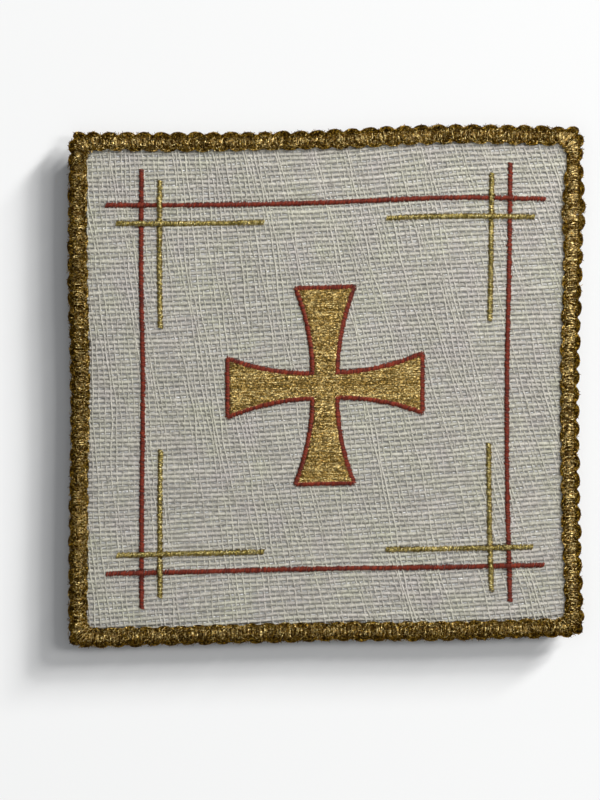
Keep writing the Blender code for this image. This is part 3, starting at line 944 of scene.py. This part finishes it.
def twisted(tree, turn, depth):
    """A thread's twist as a bump: a sine wave wound round the thread once in every turn millimetres."""
    thread = add_node(tree, "UVMap", uv_map="thread").outputs["UV"]
    parts = add_node(tree, "SeparateXYZ", {0: thread}).outputs
    wound = calculate(tree, "Math", "MULTIPLY_ADD", parts[0], 1 / turn, parts[1])
    angle = calculate(tree, "Math", "MULTIPLY", wound, 2 * np.pi)
    return bumped(tree, calculate(tree, "Math", "SINE", angle), 0.35, depth)


def toned(tree, low, high):
    """A colour between low and high by the thread's own tone."""
    return mix(tree, thread_tone(tree), linear(low), linear(high))


def cotton_yarn():
    """Cotton spun into soft yarn and bleached to cream: matt, with a faint haze where its hairs are lit.

    Its colour drifts between lilac grey and greenish cream in patches of about 9 mm. The hairs are some
    0.02 mm thick, too fine to show, so their speckle is drawn 0.8 mm across. One turn of twist is 0.7 mm.
    """
    material, tree = new_material(
        "spun cream cotton", Roughness=0.95, Sheen_Weight=0.25, Specular_IOR_Level=0.1
    )
    patches = texture(tree, "Noise", 9.0)["Fac"]
    mottled = mix(tree, patches, linear("dad3da"), linear("dbdecb"))
    colour = mix(tree, 1.0, toned(tree, "b6b3aa", "dfdcd3"), mottled, "MULTIPLY")
    hairs = texture(tree, "Noise", 0.8, {"Detail": 1.0})["Fac"]
    shade = add_node(tree, "MapRange", {0: hairs, 1: 0.3, 2: 0.7, 3: 0.8, 4: 1.15}).outputs[0]
    speckled = calculate(tree, "VectorMath", "MULTIPLY", colour, shade)
    return surface(material, speckled, twisted(tree, 0.7, 0.06))


def silver_ribbon():
    """Polyester film coated with aluminium and slit into ribbons: grey, with a white glint here and there.

    Its creases are finer than 0.1 mm. They are drawn as facets of 0.45 mm, about a pixel and a half.
    """
    material, tree = new_material("silver metallised film", Metallic=0.6, Roughness=0.35)
    return surface(material, toned(tree, "a8a8a6", "d0d0d0"), crumpled(tree, 0.45, 0.9))


def ground_cloth():
    """Close-woven cotton under the open weave, down the sides and beneath: an even, dull grey-cream.

    Its threads lie some 0.4 mm apart and are drawn at twice that, so that they show.
    """
    material, tree = new_material("close-woven cotton", Roughness=0.85, Sheen_Weight=0.1)
    # A wave texture has 20 radians in each unit of its coordinates
    width = 0.8 * 20 / (2 * np.pi)
    waves = [texture(tree, "Wave", width, bands_direction=direction)["Fac"] for direction in "XY"]
    threads = calculate(tree, "Math", "MULTIPLY", *waves)
    colour = mix(tree, threads, linear("c2c0ba"), linear("dad8d0"))
    return surface(material, colour, bumped(tree, threads, 0.5, 0.1))


# Gold film threads: colours at tones 0, 0.5 and 1, the facets' drawn width and tilt, and the spots' strength
GoldFilm = namedtuple("GoldFilm", "key name colours facet tilt roughness speckle")
GOLD_FILMS = (
    GoldFilm("braid", "gold film braid thread", ("3a2a0e", "957526", "f6de9a"), 0.36, 1.8, 0.32, 0.3),
    # The braid's core: dark gold, partly as painted shade deep among the threads
    GoldFilm("bed", "gold film braid core", ("3c2a0e", "58441e", "685428"), 0.4, 1.0, 0.45, 0.4),
    GoldFilm("gold", "gold film embroidery thread", ("78692f", "b4a564", "e8dba6"), 0.3, 1.0, 0.36, 0.1),
    GoldFilm("fill", "gold film filling thread", ("665022", "9c8246", "dac68c"), 0.28, 1.4, 0.4, 0.16),
)


def gold_film(film):
    """Thread wound with gold-lacquered metallised film: olive brown and ochre, with points of pale light.

    The real film's facets are finer than 0.1 mm and are drawn about a pixel wide. Spots a quarter wider
    are darker or lighter. The tint keeps the lacquer's gold in what it reflects at a glancing angle.
    """
    material, tree = new_material(
        film.name, Metallic=1.0, Roughness=film.roughness, Specular_Tint=linear("e8b45c")
    )
    spots = texture(tree, "Voronoi", film.facet / 0.8)["Color"]
    first = add_node(tree, "SeparateXYZ", {0: spots}).outputs[0]
    shift = add_node(tree, "MapRange", {0: first, 3: -film.speckle, 4: film.speckle}).outputs[0]
    ramp = add_node(tree, "ValToRGB", {0: calculate(tree, "Math", "ADD", thread_tone(tree), shift)})
    ramp.color_ramp.elements.new(0.5)
    for stop, colour in zip(ramp.color_ramp.elements, film.colours):
        stop.color = linear(colour)
    return surface(material, ramp.outputs[0], crumpled(tree, film.facet, film.tilt))


def red_rayon():
    """Twisted rayon embroidery thread: brick red, a little lighter or darker from stitch to stitch.

    Its twist makes one turn in 0.8 mm and leaves fine slanting ridges in each stitch.
    """
    material, tree = new_material("twisted red rayon", Roughness=0.55, Specular_IOR_Level=0.3)
    return surface(material, toned(tree, "4e160d", "8a341d"), twisted(tree, 0.8, 0.04))


def white_board():
    """Board painted matt white: its fine grain, about 1 mm, only breaks up the light a little."""
    material, tree = new_material("painted white board", Roughness=0.8)
    paint = add_node(tree, "RGB")
    paint.outputs[0].default_value = linear("efefee")
    grain = texture(tree, "Noise", 1.1)["Fac"]
    return surface(material, paint.outputs[0], bumped(tree, grain, 0.02, 0.1))


def add_floor():
    """The board that the pall lies on, a hair below it."""
    bpy.ops.mesh.primitive_plane_add(size=6.0, location=(0, 0, -0.00005))
    floor = bpy.context.object
    floor.name = "floor"
    floor.data.materials.append(white_board())
    return floor


SKY_COLOUR = (0.95, 0.97, 1.0, 1.0)
SKY_STRENGTH = 0.27

# A soft light on the pall alone: its place and size in metres, and its power in watts
PallLight = namedtuple("PallLight", "name place size power")
PALL_LIGHTS = (
    PallLight("softbox", (0.33, 0.42, 0.46), 0.5, 6.8),
    PallLight("lamp", (0.15, -0.75, 0.75), 0.1, 3.0),
)

# The floor has lights of its own, as the pall's shadow is wider and softer than one so thin would throw. In
# degrees: each one's direction from the right towards the back, its height above the horizon and its reach on
# each side. Then the light that it gives, in watts a square metre
FloorLight = namedtuple("FloorLight", "name direction height reach light")
FLOOR_LIGHTS = (
    FloorLight("floor_light_low", 41.0, 11.2, 3.4, 1.03),
    FloorLight("floor_light_middle", 35.0, 16.6, 4.6, 1.03),
    FloorLight("floor_light_high", 14.0, 30.5, 8.0, 0.57),
)
FLOOR_LIGHTS_AWAY = 8.0  # in metres

# The camera, 900 mm straight above a point a little to the left of the pall's middle and below it
MM_PER_PIXEL = 0.327
PICTURE_PIXELS = 800
CAMERA = (-8.5, -4.7, 900.0)


def add_light(name, place, size, power, floor, on_floor):
    """A soft square light that faces the pall, and that falls on the floor alone or on all but the floor."""
    light = bpy.data.objects.new(name, bpy.data.lights.new(name, "AREA"))
    light.data.shape, light.data.size, light.data.energy = "SQUARE", size, power
    light.location = place
    light.rotation_euler = light.location.to_track_quat("Z", "Y").to_euler()
    bpy.context.scene.collection.objects.link(light)
    receivers = bpy.data.collections.new(name + "_receivers")
    receivers.objects.link(floor)
    state = "INCLUDE" if on_floor else "EXCLUDE"
    receivers.collection_objects[0].light_linking.link_state = state
    light.light_linking.receiver_collection = receivers


def add_camera():
    """Straight above the pall, so that the picture's height takes in PICTURE_PIXELS of MM_PER_PIXEL each."""
    data = bpy.data.cameras.new("camera")
    data.sensor_fit = "VERTICAL"
    data.sensor_height = 36.0
    data.lens = data.sensor_height * (CAMERA[2] - THICKNESS) / (PICTURE_PIXELS * MM_PER_PIXEL)
    data.clip_end = 20.0
    camera = bpy.data.objects.new("camera", data)
    camera.location = np.array(CAMERA) / METRE
    bpy.context.scene.collection.objects.link(camera)
    bpy.context.scene.camera = camera


def dress():
    """Makes every piece and says what it rides on."""
    materials = {
        "yarn": cotton_yarn(),
        "silver": silver_ribbon(),
        "ground": ground_cloth(),
        "red": red_rayon(),
        **{film.key: gold_film(film) for film in GOLD_FILMS},
    }
    cloth = panel_cloth(materials["ground"])
    yarns = weave(materials)
    bed = braid_bed(materials["bed"])
    band = braid_band(materials["braid"])
    outer = braid_lobes("braid_outer_lobes", 1, materials["braid"])
    inner = braid_lobes("braid_inner_lobes", -1, materials["braid"])
    fuzz = braid_fuzz(materials["braid"])
    red_lines, gold_lines = satin_lines(materials)
    outline = cross_outline(materials["red"])
    filling = cross_fill(materials["fill"])

    slots = {
        "cream_cloth": [cloth, *yarns],
        "gold_braid": [bed, band, outer, inner, fuzz],
        "red_thread": [red_lines, outline],
        "gold_thread": [gold_lines, filling],
    }
    for slot, pieces in slots.items():
        for piece in pieces:
            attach(piece, "root")
    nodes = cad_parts
    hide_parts("pall_panel")
    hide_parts("gold_braid")
    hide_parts("cross_outline")
    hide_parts("cross_fill")
    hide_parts(*(name for name in nodes if name.startswith("red_line_")))
    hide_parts(*(name for name in nodes if name.startswith("gold_line_")))
    floor = add_floor()


def set_stage():
    """Sky, lights and camera. A floor light's power is pi distance^2 / sin(height) times what it gives."""
    scene = bpy.context.scene
    scene.view_settings.view_transform = "Standard"
    scene.world = bpy.data.worlds.new("studio")
    scene.world.use_nodes = True
    background = scene.world.node_tree.nodes["Background"].inputs
    background["Color"].default_value = SKY_COLOUR
    background["Strength"].default_value = SKY_STRENGTH
    floor = bpy.data.objects["floor"]
    for row in PALL_LIGHTS:
        add_light(*row, floor, False)
    for row in FLOOR_LIGHTS:
        direction, height, reach = np.radians([row.direction, row.height, row.reach])
        flat, high = FLOOR_LIGHTS_AWAY * np.cos(height), FLOOR_LIGHTS_AWAY * np.sin(height)
        place = (flat * np.cos(direction), flat * np.sin(direction), high)
        size = 2 * FLOOR_LIGHTS_AWAY * np.tan(reach)
        power = row.light * np.pi * FLOOR_LIGHTS_AWAY**2 / np.sin(height)
        add_light(row.name, place, size, power, floor, True)
    add_camera()


dress()
set_stage()
